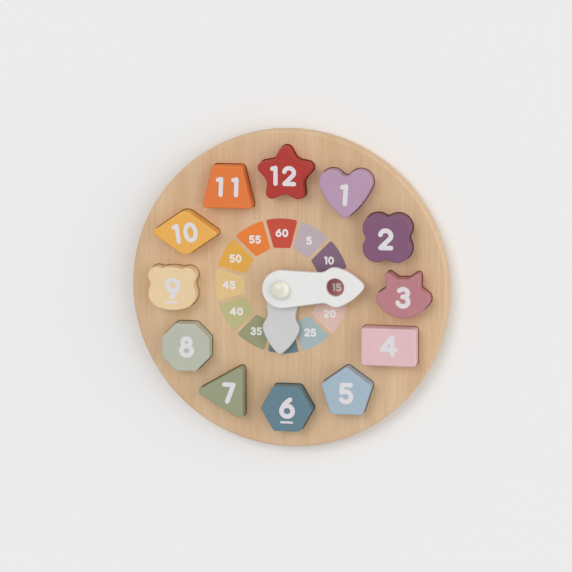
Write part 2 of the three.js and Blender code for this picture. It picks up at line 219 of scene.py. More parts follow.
# %% A shell of walls and covers
class Shell:
    """A closed surface made of walls and of flat covers that share their points."""

    def __init__(self):
        self.points, self.normals, self.faces, self.count = [], [], [], 0

    def wall(self, outline, path, hole=False):
        """Carry a section up round an outline: point = outline + offset * outward.

        The surface faces right of the section's direction, or left of it in a hole.
        Returns the lowest and the highest ring of points.
        """
        (flat, outward), (places, ways) = outline, path
        side = -1 if hole else 1
        around, levels = len(flat), len(places)
        xy = flat[None] + places[:, 0, None, None] * outward[None]
        z = np.broadcast_to(places[:, 1, None, None], (levels, around, 1))
        lie = side * ways[:, 1, None, None] * outward[None]
        rise = np.broadcast_to(-side * ways[:, 0, None, None], (levels, around, 1))
        self.points.append(np.concatenate((xy, z), 2).reshape(-1, 3))
        self.normals.append(np.concatenate((lie, rise), 2).reshape(-1, 3))
        grid = self.count + np.arange(levels * around).reshape(levels, around)
        ahead = np.roll(grid, -1, 1)
        quads = np.stack((grid[:-1], ahead[:-1], ahead[1:], grid[1:]), 2).reshape(-1, 4)
        self.faces += (quads[:, ::-1] if hole else quads).tolist()
        self.count += levels * around
        return grid[0], grid[-1]

    def cover(self, rings, up):
        """Fill the flat area between an outer ring of points and the rings inside it."""
        every = np.vstack(self.points)
        loops = [[Vector(place) for place in every[ring]] for ring in rings]
        names = np.concatenate(rings)
        triangles = names[np.array(tessellate_polygon(loops))]
        a, b, c = (every[triangles[:, i], :2] for i in range(3))
        area = (b - a)[:, 0] * (c - a)[:, 1] - (b - a)[:, 1] * (c - a)[:, 0]
        wrong = (area > 0) != up
        triangles[wrong] = triangles[wrong, ::-1]
        self.faces += triangles.tolist()

    def build(self, name):
        """Make the mesh object in metres, with the surface's own directions as normals."""
        mesh = bpy.data.meshes.new(name)
        mesh.from_pydata(np.vstack(self.points) * MM, [], self.faces)
        mesh.shade_smooth()
        mesh.normals_split_custom_set_from_vertices(np.vstack(self.normals))
        made = bpy.data.objects.new(name, mesh)
        bpy.context.scene.collection.objects.link(made)
        return made


print("what a shell can do:", [name for name in vars(Shell) if not name.startswith("_")])

# %% Plates, and how a piece is dressed
def plate(name, outline, bottom, top, foot, edge, holes=()):
    """A flat piece: its outline carried up one section, and closed by two covers.

    foot and edge are the radii of the lower and the upper rounding, and holes holds
    pairs of an outline and the section that is carried up it.
    """
    shell = Shell()
    path = section((-foot, bottom, 0), (0, bottom, foot), (0, top, edge), (-edge, top, 0))
    rings = [shell.wall(outline, path)]
    rings += [shell.wall(hole, rim, hole=True) for hole, rim in holes]
    shell.cover([low for low, _ in rings], up=False)
    shell.cover([high for _, high in rings], up=True)
    return shell.build(name)


def dress(piece, material, body, slot, *nodes):
    """Give a piece its material and its body, and hide the nodes that it stands for. The slot is not
    used.
    """
    piece.data.materials.append(material)
    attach(piece, body)
    if nodes:
        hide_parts(*nodes)
    return piece


# %% [markdown]
# Nodes and colours
#
# Materials are small graphs, and every graph is built from the same three moves: add a
# node, set what is constant, link what varies. One helper does all three. Colours are
# written as they look on a screen, as hex values, and have to be turned into amounts of
# light first, because a shader multiplies light. Most sockets go by their names, but a Mix
# node has several of each name, and its two colours are numbers 6 and 7.

# %% Helpers for materials
SRGB_TOE = 0.04045
SRGB_SLOPE = 12.92
SRGB_OFFSET = 0.055
SRGB_POWER = 2.4


def linear(colour):
    """An sRGB hex colour as linear light: the toe is divided, the rest raised to a power."""
    shown = np.array([int(colour[i : i + 2], 16) for i in (1, 3, 5)]) / 255
    upper = ((shown + SRGB_OFFSET) / (1 + SRGB_OFFSET)) ** SRGB_POWER
    light = np.where(shown <= SRGB_TOE, shown / SRGB_SLOPE, upper)
    return (*light.tolist(), 1.0)


def add(tree, kind, inputs=None, **settings):
    """Add a node, set its settings, and set or link its inputs."""
    made = tree.nodes.new(kind)
    for name, value in settings.items():
        setattr(made, name, value)
    for name, value in (inputs or {}).items():
        if isinstance(value, bpy.types.NodeSocket):
            tree.links.new(value, made.inputs[name])
        else:
            made.inputs[name].default_value = value
    return made


def new_material(name):
    """An empty material and its node tree."""
    material = bpy.data.materials.new(name)
    material.use_nodes = True
    material.node_tree.nodes.clear()
    return material, material.node_tree


def per_size(x, y, z):
    """A pattern's scale in each direction, from the sizes of its features in mm."""
    return (1 / (x * MM), 1 / (y * MM), 1 / (z * MM))


print("mid grey as light:", round(linear("#808080")[0], 3))

# %% [markdown]
# Bare beech
#
# The board is sanded beech under a thin matt lacquer. Beech is pale pink brown, with fine
# straight fibres, soft wide bands where the growth rings come to the surface, and short
# dark flecks. A picture of wood would show the same grain twice, so the grain is made of
# noise in the space of the object, stretched along the board. Cut across, at twelve and six
# o'clock, the same noise shows as end grain. Each layer of noise comes in over a span of its
# values and covers what lies below it by a share.

# %% Beech
BEECH_LIGHT = "#DDBF9C"
BEECH_BASE = "#D3B08A"
BEECH_DARK = "#C29C74"
BEECH_FLECK = "#A87F57"
RING_WIDTH = 16
RING_LENGTH = 260
FIBRE_WIDTH = 1.6
FIBRE_LENGTH = 45
FLECK_WIDTH = 0.45
FLECK_LENGTH = 3.2
GRAIN_RELIEF = 0.03
GRAIN_RELIEF_SHARE = 0.35
GRAIN_ROUGHNESS = 0.6
BAND_SPAN = (0.3, 0.7)
FIBRE_SPAN = (0.4, 0.8)
FIBRE_SHARE = 0.5
FLECK_SPAN = (0.66, 0.76)
FLECK_SHARE = 0.4
LACQUER_GLOSS = (0.5, 0.66)
LACQUER_SPECULAR = 0.35


def bare_beech(name):
    """Beech as three layers of stretched noise: growth bands, fibres and short flecks."""
    material, tree = new_material(name)
    place = add(tree, "ShaderNodeTexCoord").outputs["Object"]
    layers = {}
    for key, width, length, detail in (
        ("bands", RING_WIDTH, RING_LENGTH, 2),
        ("fibres", FIBRE_WIDTH, FIBRE_LENGTH, 4),
        ("flecks", FLECK_WIDTH, FLECK_LENGTH, 1),
    ):
        scaled = add(tree, "ShaderNodeVectorMath", {0: place, 1: per_size(width, length, width)},
                     operation="MULTIPLY")
        noise = add(tree, "ShaderNodeTexNoise", {"Vector": scaled.outputs[0], "Scale": 1.0,
                                                 "Detail": detail, "Roughness": GRAIN_ROUGHNESS})
        layers[key] = noise.outputs["Fac"]
    band = add(tree, "ShaderNodeMapRange", {"Value": layers["bands"], "From Min": BAND_SPAN[0],
                                            "From Max": BAND_SPAN[1]})
    tone = add(tree, "ShaderNodeMix", {0: band.outputs[0], 6: linear(BEECH_LIGHT),
                                       7: linear(BEECH_BASE)}, data_type="RGBA")
    fibre = add(tree, "ShaderNodeMapRange", {"Value": layers["fibres"], "From Min": FIBRE_SPAN[0],
                                             "From Max": FIBRE_SPAN[1], "To Max": FIBRE_SHARE})
    grain = add(tree, "ShaderNodeMix", {0: fibre.outputs[0], 6: tone.outputs[2],
                                        7: linear(BEECH_DARK)}, data_type="RGBA")
    fleck = add(tree, "ShaderNodeMapRange", {"Value": layers["flecks"], "From Min": FLECK_SPAN[0],
                                             "From Max": FLECK_SPAN[1], "To Max": FLECK_SHARE})
    wood = add(tree, "ShaderNodeMix", {0: fleck.outputs[0], 6: grain.outputs[2],
                                       7: linear(BEECH_FLECK)}, data_type="RGBA")
    rough = add(tree, "ShaderNodeMapRange", {"Value": layers["fibres"], "To Min": LACQUER_GLOSS[0],
                                             "To Max": LACQUER_GLOSS[1]})
    relief = add(tree, "ShaderNodeBump", {"Height": layers["fibres"],
                                          "Strength": GRAIN_RELIEF_SHARE,
                                          "Distance": GRAIN_RELIEF * MM})
    shader = add(tree, "ShaderNodeBsdfPrincipled", {
        "Base Color": wood.outputs[2], "Roughness": rough.outputs[0],
        "Normal": relief.outputs["Normal"], "Specular IOR Level": LACQUER_SPECULAR})
    add(tree, "ShaderNodeOutputMaterial", {"Surface": shader.outputs[0]})
    return material


beech = bare_beech("beech_sanded_matt_lacquer")
print("fibres per cm across the grain:", round(10 / FIBRE_WIDTH, 1))

# %% [markdown]
# Painted wood
#
# Blocks and hands are sprayed with water based acrylic paint, two thin coats that dry
# satin. Thin paint doesn't hide everything: the raised fibres of the wood still show as
# faint lines in the gloss, the colour is a little deeper where the wood drank more of it,
# and the surface has the fine pebble of a spray gun. The prints on the board are screen
# printed, a single flat film, so they get less relief and a flatter gloss.

# %% Paint
PAINT_CLOUD = 14
PAINT_FIBRE_WIDTH = 0.9
PAINT_FIBRE_LENGTH = 16
SPRAY_PEBBLE = 0.7
PAINT_RELIEF = 0.02
DEPTH_SPAN = (0.6, 1.4)
DEPTH_SHARE = 0.03
SATIN_GLOSS = (0.38, 0.5)
PRINT_GLOSS = (0.48, 0.58)


def acrylic(name, colour, gloss=SATIN_GLOSS, fibres=1.0, strength=0.3):
    """Satin paint: a cloudy, faintly streaked colour and gloss, with fibre and spray relief.

    Cloud and fibre noise are added, and their sum darkens or lightens the colour by the
    depth share. The relief is the fibres times their weight plus the spray's pebble.
    """
    material, tree = new_material(name)
    place = add(tree, "ShaderNodeTexCoord").outputs["Object"]
    along = add(tree, "ShaderNodeVectorMath", {
        0: place, 1: per_size(PAINT_FIBRE_WIDTH, PAINT_FIBRE_LENGTH, PAINT_FIBRE_WIDTH)},
        operation="MULTIPLY")
    fibre = add(tree, "ShaderNodeTexNoise", {"Vector": along.outputs[0], "Scale": 1.0,
                                             "Detail": 3.0})
    cloud = add(tree, "ShaderNodeTexNoise", {"Vector": place, "Scale": 1 / (PAINT_CLOUD * MM),
                                             "Detail": 2.0})
    pebble = add(tree, "ShaderNodeTexNoise", {"Vector": place, "Scale": 1 / (SPRAY_PEBBLE * MM),
                                              "Detail": 1.0})
    depth = add(tree, "ShaderNodeMath", {0: cloud.outputs["Fac"], 1: fibre.outputs["Fac"]},
                operation="ADD")
    value = add(tree, "ShaderNodeMapRange", {
        "Value": depth.outputs[0], "From Min": DEPTH_SPAN[0], "From Max": DEPTH_SPAN[1],
        "To Min": 1 + DEPTH_SHARE, "To Max": 1 - DEPTH_SHARE})
    tint = add(tree, "ShaderNodeHueSaturation", {"Color": linear(colour),
                                                 "Value": value.outputs[0]})
    rough = add(tree, "ShaderNodeMapRange", {"Value": fibre.outputs["Fac"], "To Min": gloss[0],
                                             "To Max": gloss[1]})
    height = add(tree, "ShaderNodeMath", {0: fibre.outputs["Fac"], 1: fibres,
                                          2: pebble.outputs["Fac"]}, operation="MULTIPLY_ADD")
    relief = add(tree, "ShaderNodeBump", {"Height": height.outputs[0], "Strength": strength,
                                          "Distance": PAINT_RELIEF * MM})
    shader = add(tree, "ShaderNodeBsdfPrincipled", {
        "Base Color": tint.outputs[0], "Roughness": rough.outputs[0],
        "Normal": relief.outputs["Normal"]})
    add(tree, "ShaderNodeOutputMaterial", {"Surface": shader.outputs[0]})
    return material


def screen_ink(name, colour):
    """A single printed film: flatter gloss and less relief than sprayed paint."""
    return acrylic(name, colour, PRINT_GLOSS, fibres=0.5, strength=0.15)


print("spray pebbles per cm:", round(10 / SPRAY_PEBBLE, 1))

# %% [markdown]
# Twelve shapes
#
# A child learns the numbers by shape as well: heart, flower, cat, rectangle, pentagon,
# hexagon, triangle, octagon, bear, rhombus, trapezoid and star. A traced outline would need
# dozens of points, while a circle tells in three numbers where a corner is and how round.
# All shapes are drawn to one nominal size, so each is a short list of circles in shares of
# it. The heads have only ears and cheeks, and nothing on them but their number.

# %% Shares of one size
BLOCK_SIZE = 42
CORNER = 2.5


def share(*values):
    """Shares of the nominal block size as millimetres."""
    return tuple(value * BLOCK_SIZE for value in values)


def mirrored(circles):
    """The same circles on the other side, in the opposite order."""
    return [(-x, y, r) for x, y, r in reversed(circles)]


print("nominal size and corner radius, mm:", BLOCK_SIZE, CORNER)

# %% Heart, flower, cat and bear
def heart():
    """A point, two lobes with a hollow notch between them, and two swelling sides."""
    point, right = share(0, -0.379, 0.083), share(0.262, 0.2, 0.235)
    left = (-right[0], right[1], right[2])
    side, notch = share(1.3, -0.107)
    return [point, between(point, right, side), right, between(right, left, notch), left,
            between(left, point, side)]


def flower():
    """Four lobes with a hollow notch between each and the next."""
    x, y, lobe, notch = share(0.191, 0.189, 0.262, -0.095)
    lobes = [(x, y, lobe), (-x, y, lobe), (-x, -y, lobe), (x, -y, lobe)]
    pairs = zip(lobes, lobes[1:] + lobes[:1])
    return [circle for a, b in pairs for circle in (a, between(a, b, notch))]


def cat():
    """A cheek and an ear between two hollows on each side, over a round chin."""
    cheek, chin = share(0.348, -0.079, 0.155), share(0, 0.033, 0.467)
    ear = [share(0.369, 0.15, -0.048), share(0.271, 0.366, 0.05), share(0.08, 0.405, -0.095)]
    side = [between(chin, cheek, share(0.6)[0]), cheek, *ear]
    return [*side, *mirrored(side), chin]


def bear():
    """A cheek and an ear with a hollow temple on each side, a flat crown and a wide chin."""
    cheek, ear, crown = share(0.174, -0.117, 0.283), share(0.295, 0.229, 0.167), share(0, -0.2, 0.6)
    temple, notch, chin = share(-0.14, -0.05, 0.795)
    side = [cheek, between(cheek, ear, temple), ear, between(ear, crown, notch)]
    return [*side, crown, *mirrored(side), between(*mirrored([cheek]), cheek, chin)]


print("circles in a heart and in a bear:", len(heart()), len(bear()))

# %% Shapes with straight sides
def polygon(corners):
    """Circles inside the corners (x, y, r) of a convex polygon, touching both its sides."""
    x, y, r = np.array(corners, float).T
    place = np.column_stack((x, y))
    back, ahead = np.roll(place, 1, 0) - place, np.roll(place, -1, 0) - place
    back /= np.linalg.norm(back, axis=1)[:, None]
    ahead /= np.linalg.norm(ahead, axis=1)[:, None]
    half = np.arccos((back * ahead).sum(1)) / 2
    inward = (back + ahead) / np.linalg.norm(back + ahead, axis=1)[:, None]
    place = place + inward * (r / np.sin(half))[:, None]
    return [tuple(circle) for circle in np.column_stack((place, r))]


def regular(sides, inscribed, first_degrees):
    """The corner circles of a regular polygon round an inscribed circle."""
    reach = (share(inscribed)[0] - CORNER) / math.cos(math.pi / sides)
    turn = math.radians(first_degrees) + np.arange(sides) * 2 * np.pi / sides
    return [(reach * math.cos(t), reach * math.sin(t), CORNER) for t in turn]


def rectangle():
    """Four corners at half the width and half the height."""
    x, y = share(0.518, 0.358)
    return polygon([(x, y, CORNER), (-x, y, CORNER), (-x, -y, CORNER), (x, -y, CORNER)])


def rhombus():
    """Tight corners left and right, and wide round ones above and below."""
    x, y, crown = share(0.655, 0.452, 0.19)
    return polygon([(x, 0, CORNER), (0, y, crown), (-x, 0, CORNER), (0, -y, crown)])


def trapezoid():
    """Four corners at heights that put the centre of the area at the origin."""
    base, top, height = share(0.483, 0.286, 0.8)
    low = -height / 3 * (base + 2 * top) / (base + top)
    high = low + height
    return polygon([(base, low, CORNER), (top, high, CORNER), (-top, high, CORNER),
                    (-base, low, CORNER)])


print("circles in a rhombus:", len(rhombus()))

# %% The star, and all twelve
def star():
    """Five round points with hollow notches half way between them."""
    point_reach, point, notch_reach, notch = share(0.425, 0.11, 0.557, -0.19)
    turn = np.pi / 2 + np.arange(10) * np.pi / 5
    reach, r = np.tile((point_reach, notch_reach), 5), np.tile((point, notch), 5)
    return list(zip(reach * np.cos(turn), reach * np.sin(turn), r))


SHAPES = {
    "block_01_heart": heart(), "block_02_flower": flower(), "block_03_cat": cat(),
    "block_04_rectangle": rectangle(), "block_05_pentagon": regular(5, 0.41, 90),
    "block_06_hexagon": regular(6, 0.43, 0),
    "block_07_triangle": regular(3, 0.305, 180), "block_08_octagon": regular(8, 0.458, 22.5),
    "block_09_bear": bear(),
    "block_10_rhombus": rhombus(), "block_11_trapezoid": trapezoid(), "block_12_star": star(),
}
print("circles in all twelve shapes:", sum(len(circles) for circles in SHAPES.values()))

# %% [markdown]
# Each shape was drawn about its own centre, and the construction knows where the block
# stands. Comparing the two boxes gives the place, and tells at once if an outline here no
# longer fits the construction.

# %% Seat the outlines on the construction
def seat(node, outline):
    """Move an outline so that its box lies on the node's box; print how far they differ."""
    low, high = (np.array(corner)[:2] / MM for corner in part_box(node))
    points = outline[0]
    shift = (low + high - points.min(0) - points.max(0)) / 2
    misfit = np.abs(high - low - np.ptp(points, axis=0)).max()
    print(f"{node}: place {shift.round(1)}, sizes differ by {misfit:.3f} mm")
    return placed(outline, *shift), shift


seated = {node: seat(node, belt(circles)) for node, circles in SHAPES.items()}

# %% [markdown]
# The blocks
#
# A block is cut from an 18 mm plank, its upper edge is run past a rounding cutter and its
# foot is only broken with sandpaper, so that it finds its socket. A cube with a Bevel
# modifier would do for the rectangle, but a plate does for all twelve. The colours are soft
# and greyed, from lilac at one o'clock round to red at twelve.

# %% Blocks
BLOCK_EDGE = 1.2
BLOCK_FOOT = 0.6
BLOCK_COLOURS = {
    "block_01_heart": ("paint_lilac", "#B492AE"), "block_02_flower": ("paint_plum", "#7B4E6E"),
    "block_03_cat": ("paint_rose", "#B77880"), "block_04_rectangle": ("paint_pale_pink", "#E0B9BE"),
    "block_05_pentagon": ("paint_pale_blue", "#A1B5C4"),
    "block_06_hexagon": ("paint_slate_blue", "#5B7B88"),
    "block_07_triangle": ("paint_olive_green", "#929879"),
    "block_08_octagon": ("paint_sage", "#B5B9A9"), "block_09_bear": ("paint_cream", "#E7CBA0"),
    "block_10_rhombus": ("paint_amber", "#E7AB4D"), "block_11_trapezoid": ("paint_orange", "#DF742E"),
    "block_12_star": ("paint_red", "#AA241A"),
}

for node, (slot, colour) in BLOCK_COLOURS.items():
    low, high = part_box(node)
    piece = plate(node.replace("block", "painted_block"), seated[node][0], low.z / MM, high.z / MM,
                  BLOCK_FOOT, BLOCK_EDGE)
    paint = acrylic("acrylic_" + slot.removeprefix("paint_") + "_on_beech", colour)
    dress(piece, paint, node, slot, node)
print("blocks:", len(BLOCK_COLOURS), "each", size_of("block_12_star")[2].round(1), "mm thick")

# %% [markdown]
# The board
#
# The board is two layers glued together. The upper one has the twelve sockets sawn right
# through it, and the lower one closes them from below. A Boolean modifier could cut the
# sockets, but they are simply more outlines: each block's own belt, moved outwards by the
# play that lets a small hand get the block out again. The construction eases the mouths of
# the sockets more than is done here, where it would widen the dark line round each block.

# %% The face layer
SOCKET_PLAY = 0.5
SOCKET_MOUTH = 0.3
RIM_EDGE = 2.5
GLUE_LINE = 0.3
SHANK_RADIUS = 3.0
BORE_PLAY = 0.3
LIGHT_EASE = 0.15

pivot = np.array([sum(corner[i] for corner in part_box("lower_washer")) / 2 / MM for i in (0, 1)])
rim = disc(0, 0, size_of("face_board")[0] / 2)
board_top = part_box("face_board")[1].z / MM
glue_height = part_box("back_board")[1].z / MM


def hole_section(low, high, low_ease, high_ease):
    """The section of a straight hole through a plate, eased at both its mouths."""
    return section((low_ease, low, 0), (0, low, low_ease), (0, high, high_ease), (high_ease, high, 0))


bore = disc(*pivot, SHANK_RADIUS + BORE_PLAY)
socket = hole_section(glue_height, board_top, LIGHT_EASE, SOCKET_MOUTH)
holes = [(grown(outline, SOCKET_PLAY), socket) for outline, _ in seated.values()]
holes.append((bore, hole_section(glue_height, board_top, LIGHT_EASE, LIGHT_EASE)))
face_board = plate("beech_face_board", rim, glue_height, board_top, GLUE_LINE, RIM_EDGE, holes)
dress(face_board, beech, "board", "bare_wood", "face_board")
print("faces of the face board:", len(face_board.data.polygons))

# %% The back layer
COUNTERBORE_RADIUS = 6.7
COUNTERBORE_DEPTH = 3.7
step = COUNTERBORE_RADIUS - SHANK_RADIUS - BORE_PLAY
counterbore = section(
    (step + LIGHT_EASE * 2, 0, 0), (step, 0, LIGHT_EASE), (step, COUNTERBORE_DEPTH, LIGHT_EASE),
    (0, COUNTERBORE_DEPTH, LIGHT_EASE), (0, glue_height, LIGHT_EASE), (LIGHT_EASE, glue_height, 0),
)
back_board = plate("beech_back_board", rim, 0, glue_height, RIM_EDGE, GLUE_LINE, [(bore, counterbore)])
dress(back_board, beech, "board", "bare_wood", "back_board")
print("back layer left over the bolt's head, mm:", round(glue_height - COUNTERBORE_DEPTH, 1))

# %% [markdown]
# The hands
#
# Both hands are sawn from 5 mm board: a round hub, a slimmer neck, then shoulders and a
# point whose sides swell a little. The outline is one belt again, lying along the direction
# in which the hand points at rest. The white hand has a round window, so that the minutes
# printed underneath it stay readable. The grey hand lies below it and is shorter.

# %% Hands
HAND_EDGE = 1.2
HAND_FOOT = 0.5
HAND_SIDE = 42
TURNING_PLAY = 0.35
WINDOW_EASE = 0.8
MINUTE_DEGREES = 3.7
HOUR_DEGREES = -92.9
# The window's reach from the bolt, and its radius
MINUTE_WINDOW = (43.3, 7.2)
HOUR_SHAPE = {"hub": 14.2, "neck_half": 11.2, "neck": 8, "shoulder_reach": 32.3,
              "shoulder_half": 14.6, "shoulder": 9, "reach": 53.2, "tip": 3.4}
MINUTE_SHAPE = {"hub": 15.2, "neck_half": 12.2, "neck": 9, "shoulder_reach": 43.3,
                "shoulder_half": 15.8, "shoulder": 10, "reach": 66.2, "tip": 4.2}


def hand_outline(hub, neck_half, neck, shoulder_reach, shoulder_half, shoulder, reach, tip):
    """Circles of a hand along +X: tip, swelling side, shoulder, neck hollow and hub.

    The neck's hollow touches the shoulder, so their centres lie the sum of their radii
    apart, and the hollow's height follows from the half width of the neck.
    """
    point = (reach - tip, 0, tip)
    upper = (shoulder_reach, shoulder_half - shoulder, shoulder)
    drop = neck_half + neck - upper[1]
    neck_x = shoulder_reach - math.sqrt((shoulder + neck) ** 2 - drop**2)
    top = [between(point, upper, HAND_SIDE), upper, (neck_x, neck_half + neck, -neck)]
    return [point, *top, (0, 0, hub), *[(x, -y, r) for x, y, r in reversed(top)]]


def hand(name, node, circles, degrees, windows=()):
    """A hand as a plate with its bore and windows, turned to where it points at rest."""
    low, high = (corner.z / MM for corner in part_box(node))
    mouths = [(disc(0, 0, SHANK_RADIUS + TURNING_PLAY), LIGHT_EASE)]
    mouths += [(disc(reach, 0, radius), WINDOW_EASE) for reach, radius in windows]
    openings = [(placed(ring, *pivot, degrees), hole_section(low, high, LIGHT_EASE, ease))
                for ring, ease in mouths]
    outline = placed(belt(circles), *pivot, degrees)
    misfit = np.abs(np.ptp(outline[0], axis=0) - size_of(node)[:2]).max()
    print(f"{node}: sizes differ by {misfit:.3f} mm")
    return plate(name, outline, low, high, HAND_FOOT, HAND_EDGE, openings)


hour = hand("painted_hour_hand", "hour_hand", hand_outline(**HOUR_SHAPE), HOUR_DEGREES)
dress(hour, acrylic("acrylic_grey_on_beech", "#CDCDCD"), "hour_hand", "paint_grey", "hour_hand")
minute = hand("painted_minute_hand", "minute_hand", hand_outline(**MINUTE_SHAPE), MINUTE_DEGREES,
              [MINUTE_WINDOW])
dress(minute, acrylic("acrylic_white_on_beech", "#E7E7E6"), "minute_hand", "paint_white", "minute_hand")

# %% [markdown]
# Nylon and steel
#
# The hands turn on a steel bolt that is pushed through from the back. Thin washers keep
# them apart, and a domed cap closes the bolt on the front. Washers and cap are moulded in
# natural nylon, which is never quite white: a little light goes in, spreads and comes out
# again warm, and subsurface scattering gives just that. The bolt is plated with zinc, a
# bright metal with the fine rings that the lathe left.

# %% Nylon
NYLON_LIGHT = "#EFEBDD"
NYLON_DEEP = "#E7E2D0"
NYLON_CLOUD = 3
NYLON_GLOSS = (0.18, 0.28)
NYLON_IOR = 1.53
NYLON_GLOW_RADIUS = 4
NYLON_GLOW_SHARES = (1.0, 0.85, 0.6)


def natural_nylon(name):
    """Moulded nylon: a glossy skin with faint clouds over a body that scatters light.

    Red, green and blue travel by their shares of the glow radius before they come out.
    """
    material, tree = new_material(name)
    place = add(tree, "ShaderNodeTexCoord").outputs["Object"]
    cloud = add(tree, "ShaderNodeTexNoise", {"Vector": place, "Scale": 1 / (NYLON_CLOUD * MM),
                                             "Detail": 2.0})
    tone = add(tree, "ShaderNodeMix", {0: cloud.outputs["Fac"], 6: linear(NYLON_LIGHT),
                                       7: linear(NYLON_DEEP)}, data_type="RGBA")
    rough = add(tree, "ShaderNodeMapRange", {"Value": cloud.outputs["Fac"], "To Min": NYLON_GLOSS[0],
                                             "To Max": NYLON_GLOSS[1]})
    shader = add(tree, "ShaderNodeBsdfPrincipled", {
        "Base Color": tone.outputs[2], "Roughness": rough.outputs[0], "IOR": NYLON_IOR,
        "Subsurface Weight": 1.0, "Subsurface Radius": NYLON_GLOW_SHARES,
        "Subsurface Scale": NYLON_GLOW_RADIUS * MM})
    add(tree, "ShaderNodeOutputMaterial", {"Surface": shader.outputs[0]})
    return material


nylon = natural_nylon("nylon_natural_moulded")
print("light travels in the nylon, mm:", NYLON_GLOW_RADIUS)

# %% Zinc
# A wave node at scale 1 repeats after this distance
WAVE_PERIOD = math.pi / 10
ZINC_LIGHT = "#C9CBCC"
ZINC_DARK = "#B4B7B8"
ZINC_SPOT = 1.5
ZINC_GLOSS = (0.22, 0.4)
LATHE_PITCH = 0.35
LATHE_WOBBLE = 0.3
LATHE_RELIEF = 0.01
LATHE_RELIEF_SHARE = 0.3


def zinc_plated_steel(name):
    """Bright zinc with turned rings: waves of distance from the bolt's axis tilt the gloss."""
    material, tree = new_material(name)
    place = add(tree, "ShaderNodeTexCoord").outputs["Object"]
    centred = add(tree, "ShaderNodeVectorMath", {0: place, 1: (*(pivot * MM), 0)}, operation="SUBTRACT")
    rings = add(tree, "ShaderNodeTexWave", {
        "Vector": centred.outputs[0], "Scale": WAVE_PERIOD / (LATHE_PITCH * MM),
        "Distortion": LATHE_WOBBLE}, wave_type="RINGS", rings_direction="Z")
    spots = add(tree, "ShaderNodeTexNoise", {"Vector": place, "Scale": 1 / (ZINC_SPOT * MM),
                                             "Detail": 3.0})
    tone = add(tree, "ShaderNodeMix", {0: spots.outputs["Fac"], 6: linear(ZINC_LIGHT),
                                       7: linear(ZINC_DARK)}, data_type="RGBA")
    rough = add(tree, "ShaderNodeMapRange", {"Value": spots.outputs["Fac"], "To Min": ZINC_GLOSS[0],
                                             "To Max": ZINC_GLOSS[1]})
    relief = add(tree, "ShaderNodeBump", {"Height": rings.outputs["Fac"],
                                          "Strength": LATHE_RELIEF_SHARE,
                                          "Distance": LATHE_RELIEF * MM})
    shader = add(tree, "ShaderNodeBsdfPrincipled", {
        "Base Color": tone.outputs[2], "Metallic": 1.0, "Roughness": rough.outputs[0],
        "Normal": relief.outputs["Normal"]})
    add(tree, "ShaderNodeOutputMaterial", {"Surface": shader.outputs[0]})
    return material


zinc = zinc_plated_steel("steel_zinc_plated")
print("turned rings per cm:", round(10 / LATHE_PITCH, 1))

# %% [markdown]
# Washers
#
# A washer is a thin moulded disc with a bore. A cylinder with a Boolean hole would do, but
# the plate from the board and the hands makes one too, with its edges eased.

# %% Washers
WASHER_EASE = 0.15

for node in ("lower_washer", "middle_washer", "upper_washer"):
    low, high = (corner.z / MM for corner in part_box(node))
    piece = plate("nylon_" + node, disc(*pivot, size_of(node)[0] / 2), low, high, WASHER_EASE,
                  WASHER_EASE, [(bore, hole_section(low, high, LIGHT_EASE, LIGHT_EASE))])
    dress(piece, nylon, "board", "ivory_nylon", node)
    print(f"{node}: {high - low:.1f} mm thick")

# %% [markdown]
# The cap
#
# The cap is a dome on a short upright band, bored from below for the end of the bolt. A
# squashed half sphere could serve, with a separate ring below it. Here band, dome and foot
# are one section carried round a circle, as on a lathe, so the surface runs through.

# %% The domed cap
CAP_FOOT = 0.4
CAP_BAND = 1.2
CAP_BORE_DEPTH = 3.6
DOME_STEPS = 4 * ROUNDING_STEPS
POLE_SHARE = 0.04


def domed_cap(name, node):
    """A half ellipse on a short upright band, with a blind bore from below.

    The dome runs up to a small flat pole, whose radius is the pole share of the cap's.
    """
    low, high = (corner.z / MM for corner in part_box(node))
    radius = size_of(node)[0] / 2
    rise = high - low - CAP_BAND
    shell = Shell()
    foot, way = section((-CAP_FOOT, low, 0), (0, low, CAP_FOOT), (0, low + CAP_BAND, 0))
    turn = np.linspace(0, math.acos(POLE_SHARE), DOME_STEPS)[1:]
    dome = np.column_stack((radius * (np.cos(turn) - 1), low + CAP_BAND + rise * np.sin(turn)))
    slope = np.column_stack((-radius * np.sin(turn), rise * np.cos(turn)))
    slope /= np.linalg.norm(slope, axis=1)[:, None]
    outer, pole = shell.wall(disc(*pivot, radius), (np.vstack((foot, dome)), np.vstack((way, slope))))
    blind = section((LIGHT_EASE, low, 0), (0, low, LIGHT_EASE), (0, low + CAP_BORE_DEPTH, LIGHT_EASE),
                    (-LIGHT_EASE, low + CAP_BORE_DEPTH, 0))
    mouth, end = shell.wall(bore, blind, hole=True)
    shell.cover([outer, mouth], up=False)
    shell.cover([end], up=False)
    shell.cover([pole], up=True)
    return shell.build(name)


dress(domed_cap("nylon_domed_cap", "pivot_cap"), nylon, "board", "ivory_nylon", "pivot_cap")
print("cap, mm:", size_of("pivot_cap").round(1))

# %% [markdown]
# The bolt
#
# The bolt has a flat head, sunk in the back of the board, and a plain shank. Its key hole is
# a small hexagon with eased corners, one more belt. A thread could be carried along a helix,
# but it would only be seen in a clock taken apart.

# %% The headed bolt
HEAD_HEIGHT = 2.8
HEAD_EASE = 0.5
HEX_HALF_WIDTH = 2.0
HEX_DEPTH = 1.6
HEX_CORNER = 0.2


